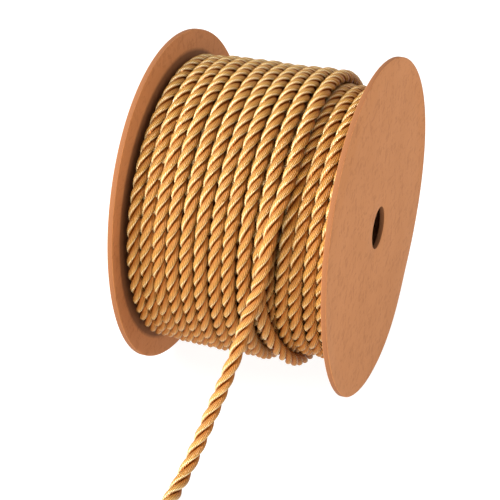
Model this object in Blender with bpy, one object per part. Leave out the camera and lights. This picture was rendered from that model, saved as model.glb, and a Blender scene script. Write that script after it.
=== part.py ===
"""Spool of twisted decorative cord: two cardboard discs on a tube, wound full, with one loose end.

Run it with: blender --background --python part.py

Metres, +Z up. The spool lies on its discs' rims with its axis along X. The origin is on the floor
under the middle of the spool, and the loose end comes off the front of the winding, at -Y.
"""

import math

import bmesh
import bpy
from mathutils import Vector

# ---- Driving sizes, in metres -------------------------------------------------------------------

GAP = 0.0003  # between pieces that touch on the real spool

DISC_RADIUS = 0.050
DISC_THICKNESS = 0.0015
DISC_SPACING = 0.0608  # between the discs' inner faces
HOLE_RADIUS = 0.00625
DISC_SEGMENTS = 64  # round a disc. The lowest two are level, and the disc stands on them

TUBE_RADIUS = 0.017
TUBE_WALL = 0.002
TUBE_SEGMENTS = 48

CORD_DIAMETER = 0.004
CORD_LAY = 0.0154  # length of cord in which each of its plies goes round once
PLIES = 3

LOWER_CREST = 0.04035  # radius of the wound layer that shows beside the right-hand disc
OUTER_CREST = 0.04365  # radius of the outermost layer, on average

# ---- Sizes that follow --------------------------------------------------------------------------

CORD_RADIUS = CORD_DIAMETER / 2
AXIS_HEIGHT = DISC_RADIUS * math.cos(math.tau / DISC_SEGMENTS)
INNER_FACE = DISC_SPACING / 2
WINDING_END = INNER_FACE - GAP
WINDING_BORE = TUBE_RADIUS + GAP

# ---- How the cord is wound ----------------------------------------------------------------------
#
# Angles go round the spool's axis: 0 is the front, at -Y, 90 degrees is the top, -90 degrees the
# underside and 180 degrees the back. The cord comes over the top, down the front and under.

# The turns of the outermost layer, from left to right: where each crosses the front, and how far
# its crest lies outside the layer's mean radius, because the cord packs unevenly.
OUTER_TURNS = [
    {"x": -0.0273, "rise": -0.0006},
    {"x": -0.0233, "rise": -0.0005},
    {"x": -0.0194, "rise": -0.0001},
    {"x": -0.0153, "rise": 0.0000},
    {"x": -0.0111, "rise": 0.0001},
    {"x": -0.0069, "rise": 0.0002},
    {"x": -0.0027, "rise": 0.0000},
    {"x": 0.0014, "rise": 0.0001},
    {"x": 0.0059, "rise": 0.0003},
    {"x": 0.0104, "rise": 0.0005},
    {"x": 0.0150, "rise": 0.0005},
]

# The turns of the layer below that the outermost layer leaves uncovered.
LOWER_TURNS = [{"x": 0.0170}, {"x": 0.0206}, {"x": 0.0244}, {"x": 0.0282}]

# All turns sit this far right of their place at the top of the spool, and left at the underside.
TURN_LEAN = 0.0005

# Between these angles a turn of the outermost layer steps over to the place of the next one. The
# last whole turn does so early, where the front of the spool still shows it.
STEP_OVER = (math.radians(-70), math.radians(-160))
LAST_STEP_OVER = (math.radians(-12), math.radians(-64))

# The last turn comes over the top in its own groove and ends at this angle, where the loose end
# takes over and crosses its neighbours.
LAST_TURN_END = math.radians(45)

# The loose end's middle line, chosen by hand: out of the last groove, over the neighbouring turns,
# off the front of the winding, down to the floor and along it.
FLOOR_REST = CORD_RADIUS + 0.0001
LOOSE_ROUTE = [
    (0.0153, -0.0301, AXIS_HEIGHT + 0.0295),
    (0.0150, -0.0332, AXIS_HEIGHT + 0.0269),
    (0.0143, -0.0386, AXIS_HEIGHT + 0.0220),
    (0.0136, -0.0425, AXIS_HEIGHT + 0.0154),
    (0.0129, -0.0457, AXIS_HEIGHT + 0.0075),
    (0.0115, -0.0474, AXIS_HEIGHT + 0.0000),
    (0.0093, -0.0491, AXIS_HEIGHT - 0.0080),
    (0.0074, -0.0520, AXIS_HEIGHT - 0.0165),
    (0.0053, -0.0563, AXIS_HEIGHT - 0.0246),
    (0.0028, -0.0618, AXIS_HEIGHT - 0.0335),
    (0.0006, -0.0678, AXIS_HEIGHT - 0.0418),
    (-0.0006, -0.0742, FLOOR_REST + 0.0014),
    (-0.0009, -0.0820, FLOOR_REST),
    (-0.0004, -0.0920, FLOOR_REST),
    (0.0014, -0.1020, FLOOR_REST),
    (0.0046, -0.1120, FLOOR_REST),
]

# ---- Colours, as linear RGB ---------------------------------------------------------------------

KRAFT_BOARD = (0.55, 0.28, 0.14)
KRAFT_TUBE = (0.42, 0.24, 0.13)
GOLD_CORD = (0.66, 0.37, 0.10)


# ---- Helpers ------------------------------------------------------------------------------------


def clear_scene():
    for obj in list(bpy.data.objects):
        bpy.data.objects.remove(obj, do_unlink=True)


def new_collection(name):
    made = bpy.data.collections.new(name)
    bpy.context.scene.collection.children.link(made)
    return made


def new_material(name, colour, roughness):
    made = bpy.data.materials.new(name)
    made.use_nodes = True
    shader = made.node_tree.nodes["Principled BSDF"]
    shader.inputs["Base Color"].default_value = (*colour, 1.0)
    shader.inputs["Roughness"].default_value = roughness
    shader.inputs["Metallic"].default_value = 0.0
    return made


def finish_object(name, builder, home, finish, sharp_degrees=40.0):
    """Turns a bmesh into a smooth-shaded object of the collection `home`."""
    bmesh.ops.recalc_face_normals(builder, faces=builder.faces)
    mesh = bpy.data.meshes.new(name)
    builder.to_mesh(mesh)
    builder.free()
    mesh.shade_smooth()
    mesh.set_sharp_from_angle(angle=math.radians(sharp_degrees))
    mesh.materials.append(finish)
    made = bpy.data.objects.new(name, mesh)
    home.objects.link(made)
    return made


def turned_ring(profile, segments):
    """A closed outline of (x, radius) corners, turned about the X axis into a ring."""
    builder = bmesh.new()
    corners = [builder.verts.new((x, 0.0, radius)) for x, radius in profile]
    sides = [builder.edges.new(pair) for pair in zip(corners, corners[1:] + corners[:1])]
    bmesh.ops.spin(
        builder,
        geom=corners + sides,
        cent=(0.0, 0.0, 0.0),
        axis=(1.0, 0.0, 0.0),
        angle=math.tau,
        steps=segments,
        use_merge=True,
    )
    return builder


def smooth_step(value):
    value = min(max(value, 0.0), 1.0)
    return value * value * (3.0 - 2.0 * value)


# ---- The two discs ------------------------------------------------------------------------------

FLAT_RADIUS = 0.0435  # the cardboard is flat as far out as the winding, and a little wavy beyond
RIM_RADII = (FLAT_RADIUS, 0.0470, DISC_RADIUS)
FOOT_HEIGHT = 0.35  # the waves fade out below this height over the floor, as a share of the radius

DISCS = [
    {"name": "disc_left", "side": -1, "bend": 0.0007, "crest": math.radians(-10)},
    {"name": "disc_right", "side": 1, "bend": 0.0007, "crest": math.radians(150)},
]


def rim_bend(disc, radius, angle):
    """How far the rim stands off the disc's flat middle: two waves round it, none at its foot."""
    outward = smooth_step((radius - FLAT_RADIUS) / (DISC_RADIUS - FLAT_RADIUS))
    over_foot = smooth_step((math.sin(angle) + 1.0) / FOOT_HEIGHT)
    return disc["bend"] * outward * over_foot * math.cos(2.0 * (angle - disc["crest"]))


def add_disc(disc, home, finish):
    """A cardboard disc with a round hole, a slightly wavy rim and a level stretch to stand on."""
    radii = (HOLE_RADIUS, *RIM_RADII)
    inner_x = disc["side"] * INNER_FACE
    outer_x = disc["side"] * (INNER_FACE + DISC_THICKNESS)
    profile = [(inner_x, radius) for radius in radii]
    profile += [(outer_x, radius) for radius in reversed(radii)]
    builder = turned_ring(profile, DISC_SEGMENTS)
    for vert in builder.verts:
        radius = math.hypot(vert.co.y, vert.co.z)
        angle = math.atan2(vert.co.z, -vert.co.y)
        vert.co.x += rim_bend(disc, radius, angle)
        vert.co.z = max(vert.co.z, -AXIS_HEIGHT) + AXIS_HEIGHT
    return finish_object(disc["name"], builder, home, finish)


# ---- The tube that the cord is wound on ---------------------------------------------------------


def add_tube(home, finish):
    """A plain cardboard tube from disc to disc, open right through."""
    half_length = INNER_FACE - GAP
    radii = (TUBE_RADIUS - TUBE_WALL, TUBE_RADIUS)
    profile = [(-half_length, radii[0]), (-half_length, radii[1])]
    profile += [(half_length, radii[1]), (half_length, radii[0])]
    tube = finish_object("tube", turned_ring(profile, TUBE_SEGMENTS), home, finish)
    tube.location.z = AXIS_HEIGHT
    return tube


# ---- The winding --------------------------------------------------------------------------------

WINDING_SEGMENTS = 52  # round the spool
COLUMNS_A_TURN = (0.0, 0.28, 0.5, 0.72)  # across a turn, as shares of the way to the next
VALLEY_DEPTH = 0.6 * CORD_RADIUS  # below the crests: nothing deeper shows between two turns
CUT_RUN = 0.0001  # the last turn's end drops to the layer below within this length


def step_share(angles, angle):
    """How much of its step over to the next place a turn has made: 0 to 1."""
    start, end = angles
    return smooth_step((start - angle) / (start - end))


def outer_crests(angle):
    """(x, radius) of each crest of the outermost layer at an angle from 90 down to -270 degrees."""
    lean = TURN_LEAN * math.sin(angle)
    crests = []
    for number, (here, after) in enumerate(zip(OUTER_TURNS, OUTER_TURNS[1:])):
        is_last = number == len(OUTER_TURNS) - 2
        share = step_share(LAST_STEP_OVER if is_last else STEP_OVER, angle)
        x = here["x"] + share * (after["x"] - here["x"])
        rise = here["rise"] + share * (after["rise"] - here["rise"])
        crests.append((x + lean, OUTER_CREST + rise))
    if angle < sum(STEP_OVER) / 2:
        first = OUTER_TURNS[0]
        crests.insert(0, (first["x"] + lean, OUTER_CREST + first["rise"]))
    if angle >= LAST_TURN_END:
        last = OUTER_TURNS[-1]
        crests.append((last["x"] + lean, OUTER_CREST + last["rise"]))
    return crests


def ridge(offset, crest):
    """The radius of a turn's outer surface, this far along the axis from the turn's middle."""
    depth = CORD_RADIUS - math.sqrt(max(CORD_RADIUS**2 - offset**2, 0.0))
    return crest - min(depth, VALLEY_DEPTH)


def winding_radius(x, angle):
    """The radius of the winding's outer surface: its highest turn there."""
    lean = TURN_LEAN * math.sin(angle)
    radius = LOWER_CREST - VALLEY_DEPTH
    for turn in LOWER_TURNS:
        radius = max(radius, ridge(x - turn["x"] - lean, LOWER_CREST))
    crests = outer_crests(angle)
    for centre, crest in crests:
        if abs(x - centre) < CORD_RADIUS:
            radius = max(radius, ridge(x - centre, crest))
    if crests[0][0] < x < crests[-1][0]:
        radius = max(radius, OUTER_CREST - VALLEY_DEPTH)
    return radius


def winding_columns():
    """Places along the axis: the two end faces, and steps across each turn."""
    middles = [turn["x"] for turn in OUTER_TURNS + LOWER_TURNS]
    columns = [-WINDING_END, middles[0] - 1.01 * CORD_RADIUS, middles[0] - 0.7 * CORD_RADIUS]
    for here, after in zip(middles, middles[1:]):
        columns += [here + share * (after - here) for share in COLUMNS_A_TURN]
    columns += [middles[-1], middles[-1] + 0.6 * CORD_RADIUS, WINDING_END]
    return columns


def winding_rows():
    """Angles down from the last turn's end and once round, with the end's two sides close by."""
    step = math.tau / WINDING_SEGMENTS
    over_top = [LAST_TURN_END + number * step for number in range(WINDING_SEGMENTS)]
    below_end = LAST_TURN_END - CUT_RUN / OUTER_CREST
    return [angle - math.tau if angle > math.pi / 2 else angle for angle in over_top] + [below_end]


def add_winding(home, finish):
    """The wound cord as one solid ring, with its turns raised as ridges."""
    columns = winding_columns()
    rows = winding_rows()
    builder = bmesh.new()
    across, around = len(columns) - 1, len(rows)
    bmesh.ops.create_grid(builder, x_segments=across, y_segments=around, size=1.0)
    for vert in builder.verts:
        column = round((vert.co.x + 1.0) / 2.0 * across)
        angle = rows[round((vert.co.y + 1.0) / 2.0 * around) % around]
        at_end = column in (0, across)
        x = columns[column] + (0.0 if at_end else TURN_LEAN * math.sin(angle))
        radius = winding_radius(x, angle)
        vert.co = Vector((x, -radius * math.cos(angle), radius * math.sin(angle)))
    bmesh.ops.remove_doubles(builder, verts=builder.verts, dist=1e-6)

    rims = [edge for edge in builder.edges if edge.is_boundary]
    walls = bmesh.ops.extrude_edge_only(builder, edges=rims)["geom"]
    for vert in (item for item in walls if isinstance(item, bmesh.types.BMVert)):
        shrink = WINDING_BORE / math.hypot(vert.co.y, vert.co.z)
        vert.co = Vector((vert.co.x, vert.co.y * shrink, vert.co.z * shrink))
    bore_rims = [edge for edge in builder.edges if edge.is_boundary]
    bmesh.ops.bridge_loops(builder, edges=bore_rims)

    winding = finish_object("winding", builder, home, finish)
    winding.location.z = AXIS_HEIGHT
    return winding


# ---- The loose end ------------------------------------------------------------------------------

LOOSE_STEP = 0.0016  # between the points that its middle line is drawn with
SECTION_SIDES = 12
PLY_GROOVE = 0.14  # how far the grooves between its plies go in, as a share of its diameter


def catmull_rom(before, start, end, after, share):
    """A point on the smooth curve from `start` to `end`, through four points of a route."""
    squared = share * share
    cubed = squared * share
    return 0.5 * (
        2.0 * start
        + (end - before) * share
        + (2.0 * before - 5.0 * start + 4.0 * end - after) * squared
        + (3.0 * start - before - 3.0 * end + after) * cubed
    )


def smooth_line(route, step):
    """Points about `step` apart, on a smooth curve through the points of a route."""
    knots = [Vector(point) for point in route]
    knots = [2.0 * knots[0] - knots[1], *knots, 2.0 * knots[-1] - knots[-2]]
    fine = [
        catmull_rom(*knots[number : number + 4], share / 20)
        for number in range(len(knots) - 3)
        for share in range(20)
    ]
    fine.append(knots[-2])
    lengths = [(b - a).length for a, b in zip(fine, fine[1:])]
    pieces = round(sum(lengths) / step)
    spacing = sum(lengths) / pieces
    line, walked = [fine[0]], 0.0
    for start, end, length in zip(fine, fine[1:], lengths):
        while walked + length >= spacing * len(line) - 1e-9 and len(line) < pieces:
            line.append(start.lerp(end, (spacing * len(line) - walked) / length))
        walked += length
    return line + [fine[-1]], spacing


def add_ply_section(home):
    """The loose end's cross-section, a circle drawn in where two plies meet. It is only a guide."""
    shape = bpy.data.curves.new("ply_section", "CURVE")
    shape.dimensions = "2D"
    spline = shape.splines.new("POLY")
    spline.points.add(SECTION_SIDES - 1)
    spline.use_cyclic_u = True
    for number, point in enumerate(spline.points):
        angle = -math.tau * number / SECTION_SIDES
        groove = PLY_GROOVE * CORD_DIAMETER * (1.0 - math.cos(PLIES * angle)) / 2.0
        radius = CORD_RADIUS - groove
        point.co = (radius * math.cos(angle), radius * math.sin(angle), 0.0, 1.0)
    section = bpy.data.objects.new("ply_section", shape)
    section.hide_render = True
    section.display_type = "WIRE"
    home.objects.link(section)
    return section


def add_loose_end(home, guides, finish):
    """The free end of the cord, with its plies twisted along its own route."""
    line, spacing = smooth_line(LOOSE_ROUTE, LOOSE_STEP)
    shape = bpy.data.curves.new("loose_end", "CURVE")
    shape.dimensions = "3D"
    shape.bevel_mode = "OBJECT"
    shape.bevel_object = add_ply_section(guides)
    shape.use_fill_caps = True
    spline = shape.splines.new("POLY")
    spline.points.add(len(line) - 1)
    for number, (point, place) in enumerate(zip(spline.points, line)):
        point.co = (*place, 1.0)
        point.tilt = math.tau * number * spacing / CORD_LAY
    shape.materials.append(finish)
    loose_end = bpy.data.objects.new("loose_end", shape)
    home.objects.link(loose_end)
    return loose_end


# ---- The spool ----------------------------------------------------------------------------------


def main():
    clear_scene()
    spool = new_collection("spool_of_cord")
    guides = new_collection("guides")
    board = new_material("kraft_board", KRAFT_BOARD, roughness=0.85)
    tube_board = new_material("kraft_tube", KRAFT_TUBE, roughness=0.9)
    gold = new_material("gold_cord", GOLD_CORD, roughness=0.4)
    loose_gold = new_material("gold_cord_loose", GOLD_CORD, roughness=0.4)
    for disc in DISCS:
        add_disc(disc, spool, board)
    add_tube(spool, tube_board)
    add_winding(spool, gold)
    add_loose_end(spool, guides, loose_gold)


main()
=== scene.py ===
# %% [markdown]
# # A spool of twisted gold cord
#
# The real thing is two kraft cardboard discs on a cardboard tube, wound full with a glossy cord of
# three plies twisted together. The cord's last length hangs off the front and lies on the table.
# The CAD model holds the sizes and the plain solids. This file dresses them: the solids stay where
# they are, and every piece made here takes its place from the same frame.

# %% Load the frame
import math

import bmesh
import bpy
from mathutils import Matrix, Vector, noise


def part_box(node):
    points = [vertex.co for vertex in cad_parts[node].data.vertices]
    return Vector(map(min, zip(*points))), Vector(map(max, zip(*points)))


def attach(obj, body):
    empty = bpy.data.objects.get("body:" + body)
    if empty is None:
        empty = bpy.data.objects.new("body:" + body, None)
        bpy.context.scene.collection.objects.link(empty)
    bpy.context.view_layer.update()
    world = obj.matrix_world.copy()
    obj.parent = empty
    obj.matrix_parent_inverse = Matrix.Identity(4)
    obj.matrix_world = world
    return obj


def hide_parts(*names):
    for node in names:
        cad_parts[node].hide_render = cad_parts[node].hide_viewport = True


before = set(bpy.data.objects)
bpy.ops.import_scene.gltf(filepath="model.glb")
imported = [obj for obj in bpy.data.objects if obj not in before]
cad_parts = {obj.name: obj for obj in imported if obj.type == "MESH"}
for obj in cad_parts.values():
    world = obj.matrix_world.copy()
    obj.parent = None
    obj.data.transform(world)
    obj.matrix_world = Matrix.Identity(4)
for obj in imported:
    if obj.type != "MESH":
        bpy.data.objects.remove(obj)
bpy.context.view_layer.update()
print("CAD nodes:", sorted(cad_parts))

# %% [markdown]
# ## Sizes
#
# A few sizes drive everything: the discs, the cord's thickness, and the lay, which is the length of
# cord in which a ply goes round once. The radii of the discs and the tube and the height of the
# axis are measured on the frame. The other numbers are typed, and fit the CAD model's.

# %% Driving sizes, in metres
disc_low, disc_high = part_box("disc_right")
tube_low, tube_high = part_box("tube")

DISC_RADIUS = (disc_high.y - disc_low.y) / 2
AXIS_HEIGHT = disc_high.z - DISC_RADIUS
INNER_FACE = 0.0304
DISC_THICKNESS = 0.0015
HOLE_RADIUS = 0.00625
TUBE_RADIUS = (tube_high.y - tube_low.y) / 2

CORD_DIAMETER = 0.004
CORD_RADIUS = CORD_DIAMETER / 2
WOUND_LAY = 0.0142  # tightened a little by the winding
LOOSE_LAY = 0.0154
PLIES = 3
GAP = 0.0003  # left between a piece and its neighbour
print(f"disc {DISC_RADIUS * 1000:.1f} mm in radius, its axis {AXIS_HEIGHT * 1000:.2f} mm up")

# %% [markdown]
# ## The camera
#
# A long lens some way off keeps the two discs' ellipses nearly alike, as a catalogue shows them.
# The camera aims at the middle of the spool, and a small shift leaves room below for the loose end.

# %% Camera
CAMERA_AZIMUTH = math.radians(19.9)
CAMERA_ELEVATION = math.radians(28.6)
CAMERA_DISTANCE = 0.4595
CAMERA_LENS = 111.2
CAMERA_SHIFT = (-0.051, -0.080)  # moves the spool right and up in the view


def sphere_point(azimuth, elevation, distance):
    """A point this far from the middle of the spool; azimuth 0 is straight in front, at -Y."""
    level = math.cos(elevation)
    direction = (math.sin(azimuth) * level, -math.cos(azimuth) * level, math.sin(elevation))
    return Vector((0.0, 0.0, AXIS_HEIGHT)) + distance * Vector(direction)


def aim(thing, target):
    direction = target - thing.location
    thing.rotation_euler = direction.to_track_quat("-Z", "Y").to_euler()


def add_camera():
    data = bpy.data.cameras.new("camera")
    data.lens = CAMERA_LENS
    data.sensor_width = 36.0
    data.shift_x, data.shift_y = CAMERA_SHIFT
    data.clip_start = 0.01
    data.clip_end = 50.0
    camera = bpy.data.objects.new("camera", data)
    bpy.context.scene.collection.objects.link(camera)
    camera.location = sphere_point(CAMERA_AZIMUTH, CAMERA_ELEVATION, CAMERA_DISTANCE)
    aim(camera, Vector((0.0, 0.0, AXIS_HEIGHT)))
    bpy.context.scene.camera = camera
    return camera


camera = add_camera()
print("camera at", [round(value, 3) for value in camera.location])

# %% [markdown]
# ## The way the cord lies
#
# The whole cord is one line, from deep in the winding to its free end, so its twist never jumps.
# It goes round the spool's axis in layers: each turn keeps its groove across the front, and steps
# over to the next groove at the underside and the back. Angles count round the axis: 0 is the
# front, 90 degrees the top, -90 the underside. The cord runs over the top, down the front and
# under, so its angle falls all the way.
#
# Each layer is a short table of turns. `x` is where a turn crosses the front, `rise` how far it
# stands proud of its layer, and `lean` how far it drifts sideways between the top and the underside.
#
# Near the discs and where a layer steps over, a real cord bulges over what lies below. Here the
# hidden layers sink into each other instead, and the outermost layer covers that.

# %% Layers of turns
LAYER_START = math.radians(245)  # the same place as -115 degrees, under the back of the spool
LAYER_DEPTH = 0.0033  # from one layer's crests to the next: round cords sit in each other's grooves
CLIMB = math.radians(75)  # within this angle the cord climbs from one layer to the next

OUTER = {
    "crest": 0.04365,
    "step_over": (math.radians(-70), math.radians(-160)),
    "turns": [
        {"x": -0.0274, "rise": -0.0006, "lean": 0.0001},
        {"x": -0.0234, "rise": -0.0005, "lean": 0.0002},
        {"x": -0.0194, "rise": -0.0001, "lean": 0.0003},
        {"x": -0.0154, "rise": 0.0000, "lean": 0.0003},
        {"x": -0.0112, "rise": 0.0001, "lean": 0.0006},
        {"x": -0.0070, "rise": 0.0002, "lean": 0.0007},
        {"x": -0.0028, "rise": 0.0000, "lean": 0.0007},
        {"x": 0.0013, "rise": 0.0001, "lean": 0.0006},
        {"x": 0.0058, "rise": 0.0003, "lean": 0.0004},
        {"x": 0.0104, "rise": 0.0005, "lean": 0.0004},
        {"x": 0.0150, "rise": 0.0005, "lean": 0.0005},
    ],
}
LAST_STEP_OVER = (math.radians(-6), math.radians(-56))  # the last whole turn steps over in front
LAST_TURN_END = math.radians(45)

LOWER = {
    "crest": 0.04035,
    "step_over": (math.radians(-60), math.radians(-250)),
    "turns": [
        {"x": 0.0276, "rise": 0.0000, "lean": 0.0007},
        {"x": 0.0237, "rise": 0.0000, "lean": 0.0012},
        {"x": 0.0197, "rise": 0.0000, "lean": 0.0016},
        {"x": 0.0158, "rise": 0.0000, "lean": 0.0018},
        {"x": 0.0117, "rise": 0.0000, "lean": 0.0010},
        {"x": 0.0077, "rise": 0.0000, "lean": 0.0005},
        {"x": 0.0036, "rise": 0.0000, "lean": 0.0005},
        {"x": -0.0006, "rise": 0.0000, "lean": 0.0005},
        {"x": -0.0048, "rise": 0.0003, "lean": 0.0005},
        {"x": -0.0090, "rise": 0.0000, "lean": 0.0005},
        {"x": -0.0132, "rise": 0.0000, "lean": 0.0004},
        {"x": -0.0173, "rise": 0.0000, "lean": 0.0002},
        {"x": -0.0213, "rise": 0.0012, "lean": 0.0001},
        {"x": -0.0253, "rise": 0.0000, "lean": 0.0000},
        {"x": -0.0277, "rise": -0.0004, "lean": 0.0000},
    ],
}
DEEP = {
    "crest": LOWER["crest"] - LAYER_DEPTH,
    "step_over": (math.radians(-60), math.radians(-250)),
    "turns": [
        {"x": 0.0137, "rise": 0.0000, "lean": 0.0006},
        {"x": 0.0177, "rise": 0.0000, "lean": 0.0006},
        {"x": 0.0217, "rise": 0.0000, "lean": 0.0006},
        {"x": 0.0256, "rise": 0.0002, "lean": 0.0006},
        {"x": 0.0278, "rise": 0.0002, "lean": 0.0003},
    ],
}
for name, layer in (("deep", DEEP), ("lower", LOWER), ("outer", OUTER)):
    print(f"{name} layer: {len(layer['turns'])} turns, crests at {layer['crest'] * 1000:.2f} mm")

# %% [markdown]
# A point of the line says four things: its place, which way is outwards there, how much cord has
# gone before it, and how often the plies have gone round by then. All but the place are for the
# twisting step later on. A little slow noise moves the line sideways and in and out, because a cord
# never lies as evenly as a thread on a screw.

# %% Points of the wound cord
POINT_STEP = 0.0010  # between points of the line
WANDER_LENGTH = 0.021  # the cord wanders to and fro about this often
WANDER = 0.00022  # and by about this much
SETTLE = 0.5  # within this angle of its end, the outermost layer stops wandering


def smooth_step(value):
    value = min(max(value, 0.0), 1.0)
    return value * value * (3.0 - 2.0 * value)


def step_share(angles, angle):
    """How much of its step over to the next groove a turn has made: 0 to 1."""
    start, end = angles
    return smooth_step((start - angle) / (start - end))


def in_layer(layer, angle):
    """(x, crest radius) of a layer's cord when it has come this far round, from LAYER_START down."""
    turns = layer["turns"]
    x, rise, lean = turns[0]["x"], turns[0]["rise"], turns[0]["lean"]
    for number, (here, after) in enumerate(zip(turns, turns[1:])):
        is_last = layer is OUTER and number == len(turns) - 2
        step_over = LAST_STEP_OVER if is_last else layer["step_over"]
        share = step_share(step_over, angle + number * math.tau)
        x += share * (after["x"] - here["x"])
        rise += share * (after["rise"] - here["rise"])
        lean += share * (after["lean"] - here["lean"])
    return x + lean * math.sin(angle), layer["crest"] + rise


def around_axis(x, radius, angle):
    return Vector((x, -radius * math.cos(angle), AXIS_HEIGHT + radius * math.sin(angle)))


def wander(travel, row):
    return WANDER * noise.noise(Vector((travel / WANDER_LENGTH, 7.3 * row, 0.4)))


def wind_layer(layer, layer_below, end_angle, travel):
    """The line's points in one layer, and how much cord there is up to its end."""
    points = []
    angle = LAYER_START
    while angle >= end_angle - 1e-9:
        x, crest = in_layer(layer, angle)
        climbed = smooth_step((LAYER_START - angle) / CLIMB) if layer_below else 1.0
        crest -= (1.0 - climbed) * LAYER_DEPTH
        fade = smooth_step((angle - end_angle) / SETTLE) if layer is OUTER else 1.0
        x += fade * wander(travel, 1)
        radius = crest - CORD_RADIUS + fade * 0.5 * wander(travel, 2)
        place = around_axis(x, radius, angle)
        outward = around_axis(0.0, 1.0, angle) - around_axis(0.0, 0.0, angle)
        turned = travel / WOUND_LAY
        points.append({"place": place, "outward": outward, "travel": travel, "turned": turned})
        step = min(POINT_STEP / radius, max(angle - end_angle, 1e-6))
        travel += step * radius
        angle -= step
    return points, travel


def layer_end(layer):
    return LAYER_START - math.tau * len(layer["turns"])


deep_line, travel = wind_layer(DEEP, None, layer_end(DEEP), 0.0)
lower_line, travel = wind_layer(LOWER, DEEP, layer_end(LOWER), travel)
OUTER_END = LAST_TURN_END - math.tau * (len(OUTER["turns"]) - 1)
outer_line, travel = wind_layer(OUTER, LOWER, OUTER_END, travel)
print(f"{travel:.2f} m of cord in the layers that are modelled, {len(outer_line)} points outside")

# %% [markdown]
# ## The loose end's route
#
# The last stretch leaves its groove, rides over three neighbouring turns, hangs off the front and
# runs out along the table. A limp cord has no say in where it goes, so its route is a list of
# given points, with a smooth curve through them. The solid in the CAD model follows nearly
# the same route. The cut end isn't tied off, so the plies come apart over its last few millimetres:
# each point also has a `splay`, which is 0 along the cord and 1 at the very end.

# %% The loose end's line
FLOOR_REST = CORD_RADIUS + 0.00022
LOOSE_ROUTE = [
    (0.0151, -0.0329, AXIS_HEIGHT + 0.0267),
    (0.0144, -0.0380, AXIS_HEIGHT + 0.0218),
    (0.0136, -0.0425, AXIS_HEIGHT + 0.0154),
    (0.0129, -0.0457, AXIS_HEIGHT + 0.0075),
    (0.0115, -0.0474, AXIS_HEIGHT + 0.0000),
    (0.0093, -0.0491, AXIS_HEIGHT - 0.0080),
    (0.0074, -0.0520, AXIS_HEIGHT - 0.0165),
    (0.0053, -0.0563, AXIS_HEIGHT - 0.0246),
    (0.0028, -0.0618, AXIS_HEIGHT - 0.0335),
    (0.0006, -0.0678, AXIS_HEIGHT - 0.0418),
    (-0.0006, -0.0742, FLOOR_REST + 0.0014),
    (-0.0009, -0.0820, FLOOR_REST),
    (-0.0004, -0.0920, FLOOR_REST),
    (0.0014, -0.1020, FLOOR_REST),
    (0.0046, -0.1120, FLOOR_REST + 0.0010),
]
SPLAY_LENGTH = 0.007  # the plies come apart over this much of the cut end
SMOOTH_PIECES = 20  # steps between two points of the route, before they are thinned out


def catmull_rom(before, start, end, after, share):
    """A point on the smooth curve from `start` to `end`, through four points of a route."""
    squared = share * share
    cubed = squared * share
    return 0.5 * (
        2.0 * start
        + (end - before) * share
        + (2.0 * before - 5.0 * start + 4.0 * end - after) * squared
        + (3.0 * start - before - 3.0 * end + after) * cubed
    )


def smooth_line(before, route, step):
    """Points about `step` apart on a smooth curve through a route. It sets off away from `before`."""
    knots = [Vector(point) for point in route]
    knots = [before, *knots, 2.0 * knots[-1] - knots[-2]]
    fine = [
        catmull_rom(*knots[number : number + 4], share / SMOOTH_PIECES)
        for number in range(len(knots) - 3)
        for share in range(SMOOTH_PIECES)
    ]
    fine.append(knots[-2])
    line, walked = [fine[0]], 0.0
    for start, end in zip(fine, fine[1:]):
        walked += (end - start).length
        if walked >= step:
            line.append(end)
            walked = 0.0
    if line[-1] is not fine[-1]:
        line.append(fine[-1])
    return line


def carried_outward(line, outward):
    """`outward` carried along a line without any twist of its own."""
    carried = []
    directions = [(after - here).normalized() for here, after in zip(line, line[1:])]
    directions.append(directions[-1])
    last = directions[0]
    for direction in directions:
        outward = last.rotation_difference(direction) @ outward
        outward = (outward - outward.dot(direction) * direction).normalized()
        carried.append(outward.copy())
        last = direction
    return carried


def lay_loose_end(travel):
    """The loose end sets off from the last wound point, in the direction that the cord has there."""
    route = [outer_line[-1]["place"], *LOOSE_ROUTE]
    places = smooth_line(outer_line[-5]["place"], route, POINT_STEP * 0.8)
    points = []
    for place, outward in zip(places, carried_outward(places, outer_line[-1]["outward"])):
        if points:
            travel += (place - points[-1]["place"]).length
        points.append({"place": place, "outward": outward, "travel": travel})
    for point in points:
        loose = point["travel"] - points[0]["travel"]
        point["turned"] = outer_line[-1]["turned"] + loose / LOOSE_LAY
        point["splay"] = 1.0 - smooth_step((travel - point["travel"]) / SPLAY_LENGTH)
    return points


loose_line = lay_loose_end(travel)

# %% [markdown]
# ## Small helpers for node trees
#
# Node trees are drawings of a calculation. These helpers let one be written as a calculation: each
# makes a node, joins what goes in, and gives back what comes out.

# %% Node helpers


def new_node(tree, kind, **settings):
    node = tree.nodes.new(kind)
    for name, value in settings.items():
        setattr(node, name, value)
    return node


def feed(tree, socket, value):
    if isinstance(value, bpy.types.NodeSocket):
        tree.links.new(value, socket)
    elif value is not None:
        socket.default_value = value


def calculate(tree, operation, *values):
    node = new_node(tree, "ShaderNodeMath", operation=operation)
    for socket, value in zip(node.inputs, values):
        feed(tree, socket, value)
    return node.outputs["Value"]


def calculate_vector(tree, operation, *values, output="Vector"):
    node = new_node(tree, "ShaderNodeVectorMath", operation=operation)
    for socket, value in zip(node.inputs, values):
        feed(tree, socket, value)
    return node.outputs[output]


def scaled(tree, vector, factor):
    node = new_node(tree, "ShaderNodeVectorMath", operation="SCALE")
    feed(tree, node.inputs["Vector"], vector)
    feed(tree, node.inputs["Scale"], factor)
    return node.outputs["Vector"]


def combine(tree, x, y, z):
    node = new_node(tree, "ShaderNodeCombineXYZ")
    for socket, value in zip(node.inputs, (x, y, z)):
        feed(tree, socket, value)
    return node.outputs["Vector"]


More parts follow.
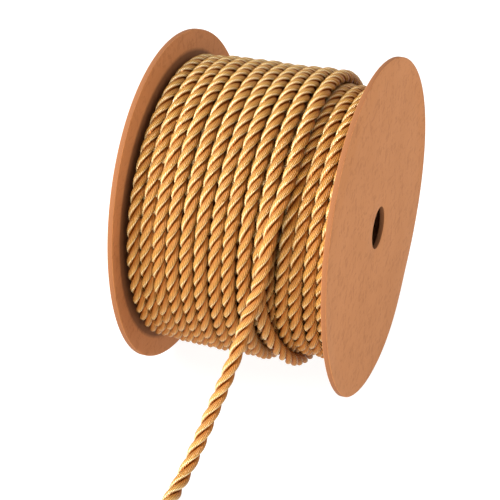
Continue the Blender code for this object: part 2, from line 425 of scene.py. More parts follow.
def noise_value(tree, vector, scale, detail=2.0, roughness=0.5):
    node = new_node(tree, "ShaderNodeTexNoise", noise_dimensions="3D")
    feed(tree, node.inputs["Vector"], vector)
    feed(tree, node.inputs["Scale"], scale)
    feed(tree, node.inputs["Detail"], detail)
    feed(tree, node.inputs["Roughness"], roughness)
    return node.outputs["Fac"]


def remap(tree, value, from_low, from_high, to_low, to_high, smooth=False):
    node = new_node(tree, "ShaderNodeMapRange", clamp=True)
    node.interpolation_type = "SMOOTHSTEP" if smooth else "LINEAR"
    numbers = (value, from_low, from_high, to_low, to_high)
    for name, number in zip(("Value", "From Min", "From Max", "To Min", "To Max"), numbers):
        feed(tree, node.inputs[name], number)
    return node.outputs["Result"]


def declare(tree, direction, kind, name, value=None):
    """A named socket on the outside of a node group."""
    socket = tree.interface.new_socket(name=name, in_out=direction, socket_type=kind)
    if value is not None:
        socket.default_value = value


def onward(tree, kind, geometry, **settings):
    """A geometry node that takes one geometry and hands it on."""
    node = new_node(tree, kind, **settings)
    feed(tree, node.inputs[0], geometry)
    return node


def stored(tree, geometry, name, value, data_type="FLOAT"):
    node = onward(tree, "GeometryNodeStoreNamedAttribute", geometry, data_type=data_type)
    node.inputs["Name"].default_value = name
    feed(tree, node.inputs["Value"], value)
    return node.outputs["Geometry"]


def named(tree, name, data_type="FLOAT"):
    node = new_node(tree, "GeometryNodeInputNamedAttribute", data_type=data_type)
    node.inputs["Name"].default_value = name
    return node.outputs["Attribute"]


print("node helpers ready")

# %% [markdown]
# ## Twisting the plies
#
# A rope machine turns three plies round each other while the finished rope creeps forward. Each
# ply's middle line is then a helix round the rope's own line. It could be drawn with a Screw
# modifier and bent with a Curve modifier, but that stretches the plies in tight bends. Geometry
# Nodes can turn each ply about the line where it is, so the twist stays even on any route:
#
# 1. copy the line once for each ply,
# 2. push each copy out from the line, in a direction that turns with the cord's length,
# 3. point the curve's normal at the middle of the cord, where the swept circle's seam then hides,
# 4. sweep a circle along it, a little thicker here and thinner there.
#
# The swept mesh keeps three numbers for its material: which ply it is, how far round the ply a
# point is, with its seam hidden on the inner side, and how far along the cord.

# %% Twisting tree
PLY_RADIUS = 0.00093
PLY_DISTANCE = 0.00112  # from the cord's own line to the middle of a ply: plies nearly touch
SPLAYED = 0.75  # at the cut end the plies stand this much further out, as a share of that distance
UNEVENNESS = 0.06  # of a ply's thickness
SWELLS = 90.0  # about this many thick and thin places in a metre
LOOSENING = 0.45  # the twist runs ahead or behind by up to half this share of a turn
LOOSE_PLACES = 38.0  # about this many times in a metre
NOISE_ROWS = 3.7  # each ply reads its noise this far from the next one's


def build_twisting_tree():
    tree = bpy.data.node_groups.new("twisted_plies", "GeometryNodeTree")
    declare(tree, "INPUT", "NodeSocketGeometry", "Guide line")
    declare(tree, "INPUT", "NodeSocketInt", "Plies", PLIES)
    declare(tree, "INPUT", "NodeSocketFloat", "Ply radius", PLY_RADIUS)
    declare(tree, "INPUT", "NodeSocketFloat", "Ply distance", PLY_DISTANCE)
    declare(tree, "INPUT", "NodeSocketFloat", "Step", 0.001)
    declare(tree, "INPUT", "NodeSocketInt", "Sides", 12)
    declare(tree, "INPUT", "NodeSocketFloat", "Unevenness", UNEVENNESS)
    declare(tree, "INPUT", "NodeSocketFloat", "Splay", SPLAYED)
    declare(tree, "INPUT", "NodeSocketInt", "Seed", 4)
    declare(tree, "INPUT", "NodeSocketMaterial", "Material")
    declare(tree, "OUTPUT", "NodeSocketGeometry", "Cord")
    given = new_node(tree, "NodeGroupInput").outputs
    result = new_node(tree, "NodeGroupOutput").inputs

    line = onward(tree, "GeometryNodeMeshToCurve", given["Guide line"]).outputs["Curve"]
    even = onward(tree, "GeometryNodeResampleCurve", line, mode="LENGTH")
    feed(tree, even.inputs["Length"], given["Step"])
    copies = onward(tree, "GeometryNodeDuplicateElements", even.outputs[0], domain="SPLINE")
    feed(tree, copies.inputs["Amount"], given["Plies"])
    ply = copies.outputs["Duplicate Index"]
    curve = stored(tree, copies.outputs["Geometry"], "ply", ply)

    tangent = new_node(tree, "GeometryNodeInputTangent").outputs["Tangent"]
    outward = named(tree, "outward", "FLOAT_VECTOR")
    sideways = calculate_vector(tree, "CROSS_PRODUCT", tangent, outward)
    sideways = calculate_vector(tree, "NORMALIZE", sideways)
    upward = calculate_vector(tree, "CROSS_PRODUCT", sideways, tangent)
    travel = named(tree, "travel")

    row = calculate(tree, "MULTIPLY", named(tree, "ply"), NOISE_ROWS)
    row = calculate(tree, "ADD", row, given["Seed"])
    slow = combine(tree, calculate(tree, "MULTIPLY", travel, LOOSE_PLACES), given["Seed"], 0.0)
    loosened = calculate(tree, "SUBTRACT", noise_value(tree, slow, 1.0, 1.0), 0.5)
    turned = calculate(tree, "MULTIPLY_ADD", loosened, LOOSENING, named(tree, "turned"))
    share = calculate(tree, "DIVIDE", named(tree, "ply"), given["Plies"])
    angle = calculate(tree, "MULTIPLY", calculate(tree, "ADD", turned, share), math.tau)
    part_up = scaled(tree, upward, calculate(tree, "COSINE", angle))
    part_side = scaled(tree, sideways, calculate(tree, "SINE", angle))
    away = calculate_vector(tree, "ADD", part_up, part_side)
    curve = stored(tree, curve, "away", away, data_type="FLOAT_VECTOR")

    moved = onward(tree, "GeometryNodeSetPosition", curve)
    splay = calculate(tree, "MULTIPLY_ADD", named(tree, "splay"), given["Splay"], 1.0)
    distance = calculate(tree, "MULTIPLY", splay, given["Ply distance"])
    shift = scaled(tree, named(tree, "away", "FLOAT_VECTOR"), distance)
    feed(tree, moved.inputs["Offset"], shift)
    facing = onward(tree, "GeometryNodeSetCurveNormal", moved.outputs[0], mode="FREE")
    feed(tree, facing.inputs["Normal"], scaled(tree, named(tree, "away", "FLOAT_VECTOR"), -1.0))

    circle = new_node(tree, "GeometryNodeCurvePrimitiveCircle", mode="RADIUS")
    feed(tree, circle.inputs["Resolution"], given["Sides"])
    circle.inputs["Radius"].default_value = 1.0
    factor = new_node(tree, "GeometryNodeSplineParameter").outputs["Factor"]
    profile = stored(tree, circle.outputs["Curve"], "around", factor)

    places = calculate(tree, "MULTIPLY", travel, SWELLS)
    swell = noise_value(tree, combine(tree, places, row, 2.0), 1.0)
    swell = calculate(tree, "MULTIPLY", calculate(tree, "SUBTRACT", swell, 0.5), 2.0)
    swell = calculate(tree, "MULTIPLY_ADD", swell, given["Unevenness"], 1.0)
    swept = onward(tree, "GeometryNodeCurveToMesh", facing.outputs[0])
    feed(tree, swept.inputs["Profile Curve"], profile)
    feed(tree, swept.inputs["Scale"], calculate(tree, "MULTIPLY", swell, given["Ply radius"]))
    feed(tree, swept.inputs["Fill Caps"], True)

    smooth = onward(tree, "GeometryNodeSetShadeSmooth", swept.outputs["Mesh"])
    real = onward(tree, "GeometryNodeRealizeInstances", smooth.outputs[0])
    painted = onward(tree, "GeometryNodeSetMaterial", real.outputs[0])
    feed(tree, painted.inputs["Material"], given["Material"])
    feed(tree, result["Cord"], painted.outputs[0])
    return tree


twisting_tree = build_twisting_tree()
print(f"{twisting_tree.name}: {len(twisting_tree.nodes)} nodes")

# %% [markdown]
# ## The gold of the cord
#
# Each ply is a bundle of fine shiny yarns. They twist against the ply, so on the cord's outside
# they run nearly along the cord and cross each ply as small ticks. The yarns are far too fine to
# model, so they are relief: ridges that wind round the ply, broken up by noise.
#
# The colours go round each ply with them. Along each ply's shoulder a pale line is painted in as a
# highlight, where the yarns would catch the light. The far side is painted darker, as shade, and it
# is duller. Light hardly gets between the plies, and what does has bounced off gold already, so a
# deep orange brown is painted towards the middle of the cord, as shade. The grooves between the
# yarns are painted darker too, as shade.

# %% Yarn relief group
YARNS = 11.0  # round each ply
YARN_LAY = 0.0078  # length of cord in which a yarn goes round its ply
HIGHLIGHT_PLACE = 0.318  # where on a ply the painted highlight runs: 0 is its seam, 0.5 its outermost line
HIGHLIGHT_EDGES = (0.020, 0.085)  # the painted highlight fades between these distances from its line
LEE_SHADE_EDGES = (0.42, 0.62)  # painted shade darkens the far side between these places, which also get rougher
RIDGE_HEIGHT = 0.55  # of a yarn's ridge, against the streaks' 1
STREAK_CHANGES = 2.6  # a streak changes about this many times in a yarn's lay
SLOW_CHANGES = 22.0  # the colour of a ply changes about this many times in a metre
YARN_NOISE_ROWS = 5.3  # each ply reads its noise this far from the next one's


def build_yarn_group():
    tree = bpy.data.node_groups.new("yarn_relief", "ShaderNodeTree")
    declare(tree, "INPUT", "NodeSocketFloat", "Around", 0.5)
    declare(tree, "INPUT", "NodeSocketFloat", "Along", 0.0)
    declare(tree, "INPUT", "NodeSocketFloat", "Ply", 0.0)
    declare(tree, "INPUT", "NodeSocketFloat", "Yarns", YARNS)
    declare(tree, "INPUT", "NodeSocketFloat", "Yarn lay", YARN_LAY)
    declare(tree, "OUTPUT", "NodeSocketFloat", "Height")
    declare(tree, "OUTPUT", "NodeSocketFloat", "Ridge")
    declare(tree, "OUTPUT", "NodeSocketFloat", "Streaks")
    declare(tree, "OUTPUT", "NodeSocketFloat", "Outside")
    declare(tree, "OUTPUT", "NodeSocketFloat", "Painted highlight")
    declare(tree, "OUTPUT", "NodeSocketFloat", "Lee shade")
    declare(tree, "OUTPUT", "NodeSocketFloat", "Slow change")
    given = new_node(tree, "NodeGroupInput").outputs
    result = new_node(tree, "NodeGroupOutput").inputs

    lays = calculate(tree, "DIVIDE", given["Along"], given["Yarn lay"])
    turned = calculate(tree, "ADD", given["Around"], lays)
    across = calculate(tree, "MULTIPLY", turned, given["Yarns"])
    wave = calculate(tree, "SINE", calculate(tree, "MULTIPLY", across, math.pi))
    ridge = calculate(tree, "ABSOLUTE", wave)
    row = calculate(tree, "MULTIPLY", given["Ply"], YARN_NOISE_ROWS)
    fibres = combine(tree, across, calculate(tree, "MULTIPLY", lays, STREAK_CHANGES), row)
    streaks = noise_value(tree, fibres, 0.9, detail=3.0, roughness=0.6)
    height = calculate(tree, "MULTIPLY_ADD", ridge, RIDGE_HEIGHT, streaks)
    feed(tree, result["Height"], height)
    feed(tree, result["Ridge"], ridge)
    feed(tree, result["Streaks"], streaks)

    round_ply = calculate(tree, "COSINE", calculate(tree, "MULTIPLY", given["Around"], math.tau))
    feed(tree, result["Outside"], calculate(tree, "MULTIPLY_ADD", round_ply, -0.5, 0.5))
    off_line = calculate(tree, "ABSOLUTE", calculate(tree, "SUBTRACT", given["Around"], HIGHLIGHT_PLACE))
    feed(tree, result["Painted highlight"], remap(tree, off_line, *HIGHLIGHT_EDGES, 1.0, 0.0, smooth=True))
    feed(tree, result["Lee shade"], remap(tree, given["Around"], *LEE_SHADE_EDGES, 0.0, 1.0))
    slow = combine(tree, calculate(tree, "MULTIPLY", given["Along"], SLOW_CHANGES), row, 1.7)
    feed(tree, result["Slow change"], noise_value(tree, slow, 1.0, 2.0))
    return tree


yarn_group = build_yarn_group()
print(f"{yarn_group.name}: {len(yarn_group.nodes)} nodes")

# %% Gold material
# The palest colour is a painted highlight along each ply's shoulder.
GOLD_PAINTED_HIGHLIGHT = (1.00, 0.82, 0.45)
GOLD_BRIGHT = (0.68, 0.400, 0.092)
GOLD = (0.55, 0.282, 0.056)
# This colour streaks the body, and it is painted on the far side of each ply as shade.
GOLD_STREAK_AND_SHADE = (0.37, 0.140, 0.010)
# The grooves between the yarns are painted this dark colour, as shade.
GOLD_GROOVE_SHADE = (0.17, 0.050, 0.002)
# Towards the middle of the cord this deep brown is painted in as shade.
GOLD_PAINTED_SHADE = (0.32, 0.086, 0.002)
SHADE = (0.30, 0.110, 0.012)
STREAKED = 0.30  # how far a colour may cover the ones under it
HIGHLIGHT_SHARE = 0.90
GROOVE_SHADED = 0.90
GROOVE_SHADE_TOP = 0.8  # the painted groove shade fades out at this height of a yarn's ridge
CREASE_SHADE_EDGES = (0.30, 0.85)  # the painted shade of the creases ends between these: 0 is innermost on a ply, 1 outermost
METALLIC = {"deep": 0.60, "outside": 0.1}
ROUGHNESS = {"shoulder": 0.24, "lee": 0.62}
YARN_RELIEF = 0.00026


def attribute(tree, name):
    return new_node(tree, "ShaderNodeAttribute", attribute_name=name).outputs["Fac"]


def mixed(tree, factor, first, second):
    """A mix of two colours. A plain colour is three linear numbers."""
    node = new_node(tree, "ShaderNodeMix", data_type="RGBA")
    feed(tree, node.inputs["Factor"], factor)
    for socket, colour in ((node.inputs["A"], first), (node.inputs["B"], second)):
        feed(tree, socket, (*colour, 1.0) if isinstance(colour, tuple) else colour)
    return node.outputs["Result"]


def new_material(name):
    """(material, its tree, its shader) with a plain Principled shader."""
    made = bpy.data.materials.new(name)
    made.use_nodes = True
    return made, made.node_tree, made.node_tree.nodes["Principled BSDF"]


def bump(tree, height, distance, strength=1.0):
    node = new_node(tree, "ShaderNodeBump")
    feed(tree, node.inputs["Height"], height)
    node.inputs["Distance"].default_value = distance
    node.inputs["Strength"].default_value = strength
    return node.outputs["Normal"]


def build_gold(name):
    made, tree, shader = new_material(name)
    yarn = new_node(tree, "ShaderNodeGroup", node_tree=yarn_group)
    feed(tree, yarn.inputs["Around"], attribute(tree, "around"))
    feed(tree, yarn.inputs["Along"], attribute(tree, "travel"))
    feed(tree, yarn.inputs["Ply"], attribute(tree, "ply"))

    slow = remap(tree, yarn.outputs["Slow change"], 0.3, 0.7, 0.0, 1.0)
    body = mixed(tree, slow, GOLD, GOLD_BRIGHT)
    streak = remap(tree, yarn.outputs["Streaks"], 0.35, 0.7, STREAKED, 0.0)
    streaked = mixed(tree, streak, body, GOLD_STREAK_AND_SHADE)
    # The far side of each ply is painted darker, as shade.
    lee_shaded = mixed(tree, yarn.outputs["Lee shade"], streaked, GOLD_STREAK_AND_SHADE)
    # A pale line is painted along each ply's shoulder, as a highlight.
    line = calculate(tree, "MULTIPLY", yarn.outputs["Painted highlight"], HIGHLIGHT_SHARE)
    highlighted = mixed(tree, line, lee_shaded, GOLD_PAINTED_HIGHLIGHT)
    # The grooves between the yarns are painted darker, as shade.
    groove_shade = remap(tree, yarn.outputs["Ridge"], 0.0, GROOVE_SHADE_TOP, GROOVE_SHADED, 0.0)
    groove_shaded = mixed(tree, groove_shade, highlighted, GOLD_GROOVE_SHADE)
    # Towards the middle of the cord a deep brown is painted in, as shade.
    outside = remap(tree, yarn.outputs["Outside"], *CREASE_SHADE_EDGES, 0.0, 1.0, smooth=True)
    feed(tree, shader.inputs["Base Color"], mixed(tree, outside, GOLD_PAINTED_SHADE, groove_shaded))

    metallic = remap(tree, outside, 0.0, 1.0, METALLIC["deep"], METALLIC["outside"])
    roughness = remap(tree, yarn.outputs["Lee shade"], 0.0, 1.0, ROUGHNESS["shoulder"], ROUGHNESS["lee"])
    feed(tree, shader.inputs["Metallic"], metallic)
    feed(tree, shader.inputs["Roughness"], roughness)
    feed(tree, shader.inputs["Normal"], bump(tree, yarn.outputs["Height"], YARN_RELIEF))
    shader.inputs["Specular IOR Level"].default_value = 0.6
    return made


gold_cord = build_gold("gold_cord")
gold_loose = build_gold("gold_cord_loose")
print("gold:", [made.name for made in (gold_cord, gold_loose)])

# %% [markdown]
# ## Making the wound cord
#
# A guide is a mesh of points joined in a row, with the four numbers that the twist needs stored on
# its points. The twisting tree sweeps it, and the result is turned into a plain mesh. The winding
# is cut into a few pieces to keep each one small enough for other programs. What lies deep in the
# winding is swept more coarsely.

# %% Cord pieces


def guide_object(name, points):
    mesh = bpy.data.meshes.new(name)
    edges = [(number, number + 1) for number in range(len(points) - 1)]
    mesh.from_pydata([point["place"] for point in points], edges, [])
    travel = mesh.attributes.new("travel", "FLOAT", "POINT")
    travel.data.foreach_set("value", [point["travel"] for point in points])
    outward = mesh.attributes.new("outward", "FLOAT_VECTOR", "POINT")
    outward.data.foreach_set("vector", [number for point in points for number in point["outward"]])
    turned = mesh.attributes.new("turned", "FLOAT", "POINT")
    turned.data.foreach_set("value", [point["turned"] for point in points])
    splay = mesh.attributes.new("splay", "FLOAT", "POINT")
    splay.data.foreach_set("value", [point.get("splay", 0.0) for point in points])
    guide = bpy.data.objects.new(name, mesh)
    bpy.context.scene.collection.objects.link(guide)
    return guide


def set_inputs(modifier, values):
    for item in modifier.node_group.interface.items_tree:
        if item.item_type == "SOCKET" and item.in_out == "INPUT" and item.name in values:
            modifier[item.identifier] = values[item.name]


def made_plain(obj):
    """Turns what an object's modifiers make into its own plain mesh."""
    graph = bpy.context.evaluated_depsgraph_get()
    mesh = bpy.data.meshes.new_from_object(
        obj.evaluated_get(graph), preserve_all_data_layers=True, depsgraph=graph
    )
    old = obj.data
    obj.modifiers.clear()
    obj.data = mesh
    mesh.name = obj.name
    bpy.data.meshes.remove(old)


def triangles(obj):
    obj.data.calc_loop_triangles()
    return len(obj.data.loop_triangles)


def twisted_cord(name, points, material, **values):
    cord = guide_object(name, points)
    twist = cord.modifiers.new("twist", "NODES")
    twist.node_group = twisting_tree
    set_inputs(twist, {"Material": material, **values})
    made_plain(cord)
    print(f"{name}: {triangles(cord)} triangles")
    return cord


FINE = {"Step": 0.0010, "Sides": 14}
COARSE = {"Step": 0.0015, "Sides": 8}


def cut_by_travel(line, share):
    """The two parts of a line, sharing one point, so that the swept ends meet."""
    target = line[0]["travel"] + share * (line[-1]["travel"] - line[0]["travel"])
    cut = next(number for number, point in enumerate(line) if point["travel"] >= target)
    return line[: cut + 1], line[cut:]


outer_left, outer_right = cut_by_travel(outer_line, 0.5)
lower_shown, lower_hidden = cut_by_travel(lower_line, 4.0 / len(LOWER["turns"]))
winding_pieces = [
    twisted_cord("winding_outer_left", outer_left, gold_cord, **FINE),
    twisted_cord("winding_outer_right", outer_right, gold_cord, **FINE),
    twisted_cord("winding_lower", lower_shown, gold_cord, **FINE),
    twisted_cord("winding_lower_hidden", lower_hidden, gold_cord, **COARSE),
    twisted_cord("winding_deep", deep_line, gold_cord, **COARSE),
]

# %% [markdown]
# ## What the loose end is made of
#
# It is the same cord, swept a little finer because it stands alone.

# %% Loose end
loose_end = twisted_cord("loose_cord", loose_line, gold_loose, Step=0.0007, Sides=18)

# %% [markdown]
# ## The core
#
# Under the layers that show there are many more. A closed ring stands for them, so no light comes
# up through the gaps between the turns. It is spun from its cross-section.

# %% Ring helper


def spun_ring(name, profile, segments, material):
    """A closed outline of (x, radius) corners, turned about the spool's axis into a smooth ring."""
    builder = bmesh.new()
    corners = [builder.verts.new((x, 0.0, radius)) for x, radius in profile]
    sides = [builder.edges.new(pair) for pair in zip(corners, corners[1:] + corners[:1])]
    bmesh.ops.spin(
        builder,
        geom=corners + sides,
        cent=(0.0, 0.0, 0.0),
        axis=(1.0, 0.0, 0.0),
        angle=math.tau,
        steps=segments,
        use_merge=True,
    )
    bmesh.ops.remove_doubles(builder, verts=builder.verts, dist=1e-7)
    bmesh.ops.recalc_face_normals(builder, faces=builder.faces)
    bmesh.ops.translate(builder, verts=builder.verts, vec=(0.0, 0.0, AXIS_HEIGHT))
    mesh = bpy.data.meshes.new(name)
    builder.to_mesh(mesh)
    builder.free()
    mesh.shade_smooth()
    mesh.set_sharp_from_angle(angle=math.radians(50))
    mesh.materials.append(material)
    ring = bpy.data.objects.new(name, mesh)
    bpy.context.scene.collection.objects.link(ring)
    print(f"{name}: {triangles(ring)} triangles")
    return ring


# %% Core
WINDING_END = INNER_FACE - GAP
CORE_RADIUS = DEEP["crest"] - 0.6 * CORD_RADIUS  # so no light comes up past the deepest turns
CORE_SEGMENTS = 96


def build_shade(name):
    """A dull brown painted on as shade: the colour that a deep layer of cord has in the dark."""
    made, tree, shader = new_material(name)
    place = new_node(tree, "ShaderNodeTexCoord").outputs["Object"]
    mottled = remap(tree, noise_value(tree, place, 400.0), 0.35, 0.65, 0.0, 1.0)
    feed(tree, shader.inputs["Base Color"], mixed(tree, mottled, SHADE, GOLD_PAINTED_SHADE))
    shader.inputs["Roughness"].default_value = 0.7
    return made


core_bore = TUBE_RADIUS + GAP
core_profile = [
    (-WINDING_END, core_bore),
    (-WINDING_END, CORE_RADIUS),
    (WINDING_END, CORE_RADIUS),
    (WINDING_END, core_bore),
]
core = spun_ring("winding_core", core_profile, CORE_SEGMENTS, build_shade("core_painted_shade"))

# %% [markdown]
# ## Kraft cardboard
#
# Brown board is pressed from wood pulp: short fibres lie every way in it, some paler and some
# darker, and the cut edge shows its layers. Its dark colour there is partly painted shade. One group
# makes the fibres, and each board gives it its own colours. Close to the winding the inner faces of
# the discs are painted dark, as shade.

# %% Paper fibre group
FIBRE_SCALE = 900.0
BEND_SCALE = 260.0
MOTTLE_SCALE = 70.0
FIBRE_BEND = 0.004  # how far a fibre strays from a straight line
FIBRE_STRETCH = 0.22  # a fibre is about one over this times as long as it is wide


def build_fibre_group():
    tree = bpy.data.node_groups.new("paper_fibres", "ShaderNodeTree")
    declare(tree, "INPUT", "NodeSocketVector", "Place")
    declare(tree, "INPUT", "NodeSocketFloat", "Fibre scale", FIBRE_SCALE)
    declare(tree, "OUTPUT", "NodeSocketFloat", "Fibres")
    declare(tree, "OUTPUT", "NodeSocketFloat", "Mottle")
    declare(tree, "OUTPUT", "NodeSocketFloat", "Height")
    given = new_node(tree, "NodeGroupInput").outputs
    result = new_node(tree, "NodeGroupOutput").inputs
    bend = noise_value(tree, given["Place"], BEND_SCALE, detail=1.0)
    shift = scaled(tree, combine(tree, 0.0, bend, bend), FIBRE_BEND)
    bent = calculate_vector(tree, "ADD", given["Place"], shift)
    long_y = calculate_vector(tree, "MULTIPLY", bent, (1.0, FIBRE_STRETCH, 1.0))
    long_z = calculate_vector(tree, "MULTIPLY", bent, (1.0, 1.0, FIBRE_STRETCH))
    first = noise_value(tree, long_y, given["Fibre scale"], detail=3.0, roughness=0.6)
    second = noise_value(tree, long_z, given["Fibre scale"], detail=3.0, roughness=0.6)
    fibres = calculate(tree, "MULTIPLY", calculate(tree, "ADD", first, second), 0.5)
    mottle = noise_value(tree, given["Place"], MOTTLE_SCALE, detail=4.0, roughness=0.6)
    feed(tree, result["Fibres"], fibres)
    feed(tree, result["Mottle"], mottle)
    feed(tree, result["Height"], fibres)
    return tree


fibre_group = build_fibre_group()
print(f"{fibre_group.name}: {len(fibre_group.nodes)} nodes")

# %% Board materials
PAINTED_CONTACT_SHADE = (0.060, 0.016, 0.003)
CONTACT_SHADE_EDGES = (-0.0002, 0.0010)  # the painted shade fades between these distances from the winding
FACE_EDGES = (0.0003, 0.0006)  # and it stops this far behind the inner face
CUT_EDGES = (0.00001, 0.00007)  # a cut edge's colour, partly painted shade, fades between these distances from it
BOARD_RELIEF = 0.00006


def distance_from_axis(tree, place):
    """How far a point is from the spool's axis, for what changes at a rim or round a hole."""
    parts = new_node(tree, "ShaderNodeSeparateXYZ")
    feed(tree, parts.inputs["Vector"], place)
    height = calculate(tree, "SUBTRACT", parts.outputs["Z"], AXIS_HEIGHT)
    flat = combine(tree, 0.0, parts.outputs["Y"], height)
    return calculate_vector(tree, "LENGTH", flat, output="Value")


def contact_shade_share(tree, place, radius):
    """How much painted shade the inner face gets: most at the winding, none 1 mm further out."""
    parts = new_node(tree, "ShaderNodeSeparateXYZ")
    feed(tree, parts.inputs["Vector"], place)
    across = calculate(tree, "ABSOLUTE", parts.outputs["X"])
    inner_edges = [INNER_FACE + depth for depth in FACE_EDGES]
    inner = remap(tree, across, *inner_edges, 1.0, 0.0)
    near_edges = [OUTER["crest"] + gap for gap in CONTACT_SHADE_EDGES]
    near = remap(tree, radius, *near_edges, 1.0, 0.0)
    return calculate(tree, "MULTIPLY", inner, near)


def build_board(name, colour, light, dark, cut_edge_and_shade, contact_shade):
    """Kraft board. The edge colour goes on its cut edges, at the rim and in the hole, partly as painted
    shade.
    """
    made, tree, shader = new_material(name)
    place = new_node(tree, "ShaderNodeTexCoord").outputs["Object"]
    fibres = new_node(tree, "ShaderNodeGroup", node_tree=fibre_group)
    feed(tree, fibres.inputs["Place"], place)
    mottle = remap(tree, fibres.outputs["Mottle"], 0.35, 0.65, 0.0, 0.5)
    mottled = mixed(tree, mottle, colour, light)
    speckle = remap(tree, fibres.outputs["Fibres"], 0.36, 0.50, 0.55, 0.0)
    speckled = mixed(tree, speckle, mottled, dark)
    radius = distance_from_axis(tree, place)
    least, most = CUT_EDGES
    at_rim = remap(tree, radius, DISC_RADIUS - most, DISC_RADIUS - least, 0.0, 1.0)
    in_hole = remap(tree, radius, HOLE_RADIUS + least, HOLE_RADIUS + most, 1.0, 0.0)
    cut = calculate(tree, "MAXIMUM", at_rim, in_hole)
    # Next to the winding the inner face is painted dark, as shade.
    contact_shaded = calculate(tree, "MULTIPLY", contact_shade_share(tree, place, radius), contact_shade)
    faced = mixed(tree, contact_shaded, speckled, PAINTED_CONTACT_SHADE)
    # The cut edges take the edge colour, which on the discs is darkened as painted shade.
    feed(tree, shader.inputs["Base Color"], mixed(tree, cut, faced, cut_edge_and_shade))
    feed(tree, shader.inputs["Normal"], bump(tree, fibres.outputs["Height"], BOARD_RELIEF, strength=0.6))
    shader.inputs["Roughness"].default_value = 0.82
    shader.inputs["Specular IOR Level"].default_value = 0.25
    return made


kraft_board = build_board(
    "kraft_board",
    colour=(0.485, 0.192, 0.065),
    light=(0.535, 0.220, 0.080),
    dark=(0.335, 0.120, 0.038),
    cut_edge_and_shade=(0.235, 0.092, 0.035),
    contact_shade=0.7,
)
kraft_tube = build_board(
    "kraft_tube",
    colour=(0.36, 0.19, 0.10),
    light=(0.44, 0.24, 0.13),
    dark=(0.22, 0.105, 0.05),
    cut_edge_and_shade=(0.36, 0.19, 0.10),
    contact_shade=0.0,
)
print("boards:", kraft_board.name, kraft_tube.name)

# %% [markdown]
# ## The discs
#
# A die stamps the discs from board, which leaves soft edges and a slight wave in the rim. The solid
# of each disc is right in shape, but it has flat facets and knife edges, so a finer ring of the same
# section stands for it: rounded edges, more steps round, and the same two waves.

# %% Discs
DISC_SEGMENTS = 192
EDGE_ROUND = 0.00022
FLAT_RADIUS = 0.0435  # outside this the rim may bend
FOOT_HEIGHT = 0.35  # and it does so fully from this share of the radius above the foot
FACE_RINGS = (0.012, 0.022, 0.034)  # radii of the rings of corners where a disc is flat
RIM_RINGS = (FLAT_RADIUS, 0.0455, 0.0475, 0.0490)  # and where it bends
DISCS = [
    {"name": "board_left", "node": "disc_left", "side": -1, "bend": 0.0007, "crest": -10.0},
    {"name": "board_right", "node": "disc_right", "side": 1, "bend": 0.0007, "crest": 150.0},
]


def rim_bend(disc, radius, angle):
    """How far the rim stands off the disc's flat middle: two waves round it, none at its foot."""
    outward = smooth_step((radius - FLAT_RADIUS) / (DISC_RADIUS - FLAT_RADIUS))
    over_foot = smooth_step((math.sin(angle) + 1.0) / FOOT_HEIGHT)
    crest = math.radians(disc["crest"])
    return disc["bend"] * outward * over_foot * math.cos(2.0 * (angle - crest))


def rounded_corner(x, radius, x_side, radius_side):
    """The points of a small quarter circle that rounds a corner of the section."""
    centre_x, centre_radius = x - x_side * EDGE_ROUND, radius - radius_side * EDGE_ROUND
    points = []
    for number in range(4):
        turn = math.radians(30.0 * number)
        points.append((
            centre_x + x_side * EDGE_ROUND * math.sin(turn),
            centre_radius + radius_side * EDGE_ROUND * math.cos(turn),
        ))
    return points


def disc_section(disc):
    """The outline of a disc, cut from its hole to its rim: up the inner face and down the outer."""
    side = disc["side"]
    inner, outer = side * INNER_FACE, side * (INNER_FACE + DISC_THICKNESS)
    rings = (*FACE_RINGS, *RIM_RINGS)
    section = rounded_corner(inner, HOLE_RADIUS, -side, -1)
    section += [(inner, radius) for radius in rings]
    section += list(reversed(rounded_corner(inner, DISC_RADIUS, -side, 1)))
    section += rounded_corner(outer, DISC_RADIUS, side, 1)
    section += [(outer, radius) for radius in reversed(rings)]
    section += list(reversed(rounded_corner(outer, HOLE_RADIUS, side, -1)))
    return section


def add_board(disc):
    board = spun_ring(disc["name"], disc_section(disc), DISC_SEGMENTS, kraft_board)
    for vertex in board.data.vertices:
        up, front = vertex.co.z - AXIS_HEIGHT, -vertex.co.y
        vertex.co.x += rim_bend(disc, math.hypot(up, front), math.atan2(up, front))
        vertex.co.z = max(vertex.co.z, 0.0)
    return board


boards = [add_board(disc) for disc in DISCS]

# %% Tube
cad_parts["tube"].data.materials.clear()
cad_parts["tube"].data.materials.append(kraft_tube)
print("tube:", kraft_tube.name)

# %% [markdown]
# ## What rides on what
#
# Nothing moves on a spool of cord, so every piece rides on the one body. Each finished piece hides
# the solid that it stands for.

# %% Tie the pieces to the frame
for piece in [*winding_pieces, core]:
    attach(piece, "root")
    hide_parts("winding")
for disc, board in zip(DISCS, boards):
    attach(board, "root")
    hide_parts(disc["node"])
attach(loose_end, "root")
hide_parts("loose_end")
print(f"{len(winding_pieces)} wound pieces, the core, {len(boards)} discs and the loose end tied")

# %% [markdown]
# ## Floor and light
#
# The floor and the air round it are nearly white: the floor glows like a light table, so hardly any
# shadow is left on it. The key light is a tall narrow softbox at the left. It reaches the top and
# the underside of the winding alike, draws a thin bright line on every ply, and stands so far round
# that the left disc shades the first turn. A weaker light from the right and a little behind is for
# the outer face of the right disc, and a warm low one stands for what the table throws back.

# %% Floor
FLOOR_HALF = 6.0
FLOOR_GLOW = 0.90


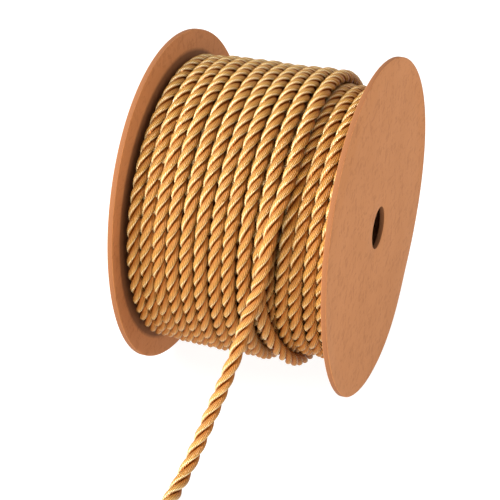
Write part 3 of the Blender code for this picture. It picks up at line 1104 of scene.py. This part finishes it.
def add_floor():
    builder = bmesh.new()
    bmesh.ops.create_grid(builder, x_segments=8, y_segments=8, size=FLOOR_HALF)
    mesh = bpy.data.meshes.new("floor")
    builder.to_mesh(mesh)
    builder.free()
    made, tree, shader = new_material("pale_floor")
    shader.inputs["Base Color"].default_value = (0.25, 0.25, 0.25, 1.0)
    shader.inputs["Roughness"].default_value = 1.0
    shader.inputs["Specular IOR Level"].default_value = 0.0
    shader.inputs["Emission Color"].default_value = (1.0, 1.0, 1.0, 1.0)
    shader.inputs["Emission Strength"].default_value = FLOOR_GLOW
    mesh.materials.append(made)
    floor = bpy.data.objects.new("floor", mesh)
    bpy.context.scene.collection.objects.link(floor)
    print(f"floor {2 * FLOOR_HALF:.0f} m wide")


add_floor()

# %% Light
WHITE = (1.0, 1.0, 1.0)
WARM = (1.0, 0.88, 0.70)
AIR_GLOW = 0.50


def add_softbox(name, azimuth, elevation, distance, width, height, power, colour=WHITE):
    data = bpy.data.lights.new(name, "AREA")
    data.shape = "RECTANGLE"
    data.size = width
    data.size_y = height
    data.energy = power
    data.color = colour
    light = bpy.data.objects.new(name, data)
    bpy.context.scene.collection.objects.link(light)
    light.location = sphere_point(math.radians(azimuth), math.radians(elevation), distance)
    aim(light, Vector((0.0, 0.0, AXIS_HEIGHT)))
    print(f"{name} light: {power:.0f} W, {distance:.1f} m away")


add_softbox("key", azimuth=-53.0, elevation=47.0, distance=1.2, width=0.15, height=1.4, power=28.0)
add_softbox("fill", azimuth=105.0, elevation=30.0, distance=1.4, width=0.8, height=0.8, power=5.0)
add_softbox(
    "bounce",
    azimuth=-5.0,
    elevation=3.0,
    distance=1.0,
    width=0.5,
    height=0.4,
    power=13.0,
    colour=WARM,
)

world = bpy.data.worlds.new("studio")
world.use_nodes = True
air = world.node_tree.nodes["Background"]
air.inputs["Color"].default_value = (*WHITE, 1.0)
air.inputs["Strength"].default_value = AIR_GLOW
bpy.context.scene.world = world
bpy.context.scene.view_settings.view_transform = "Standard"
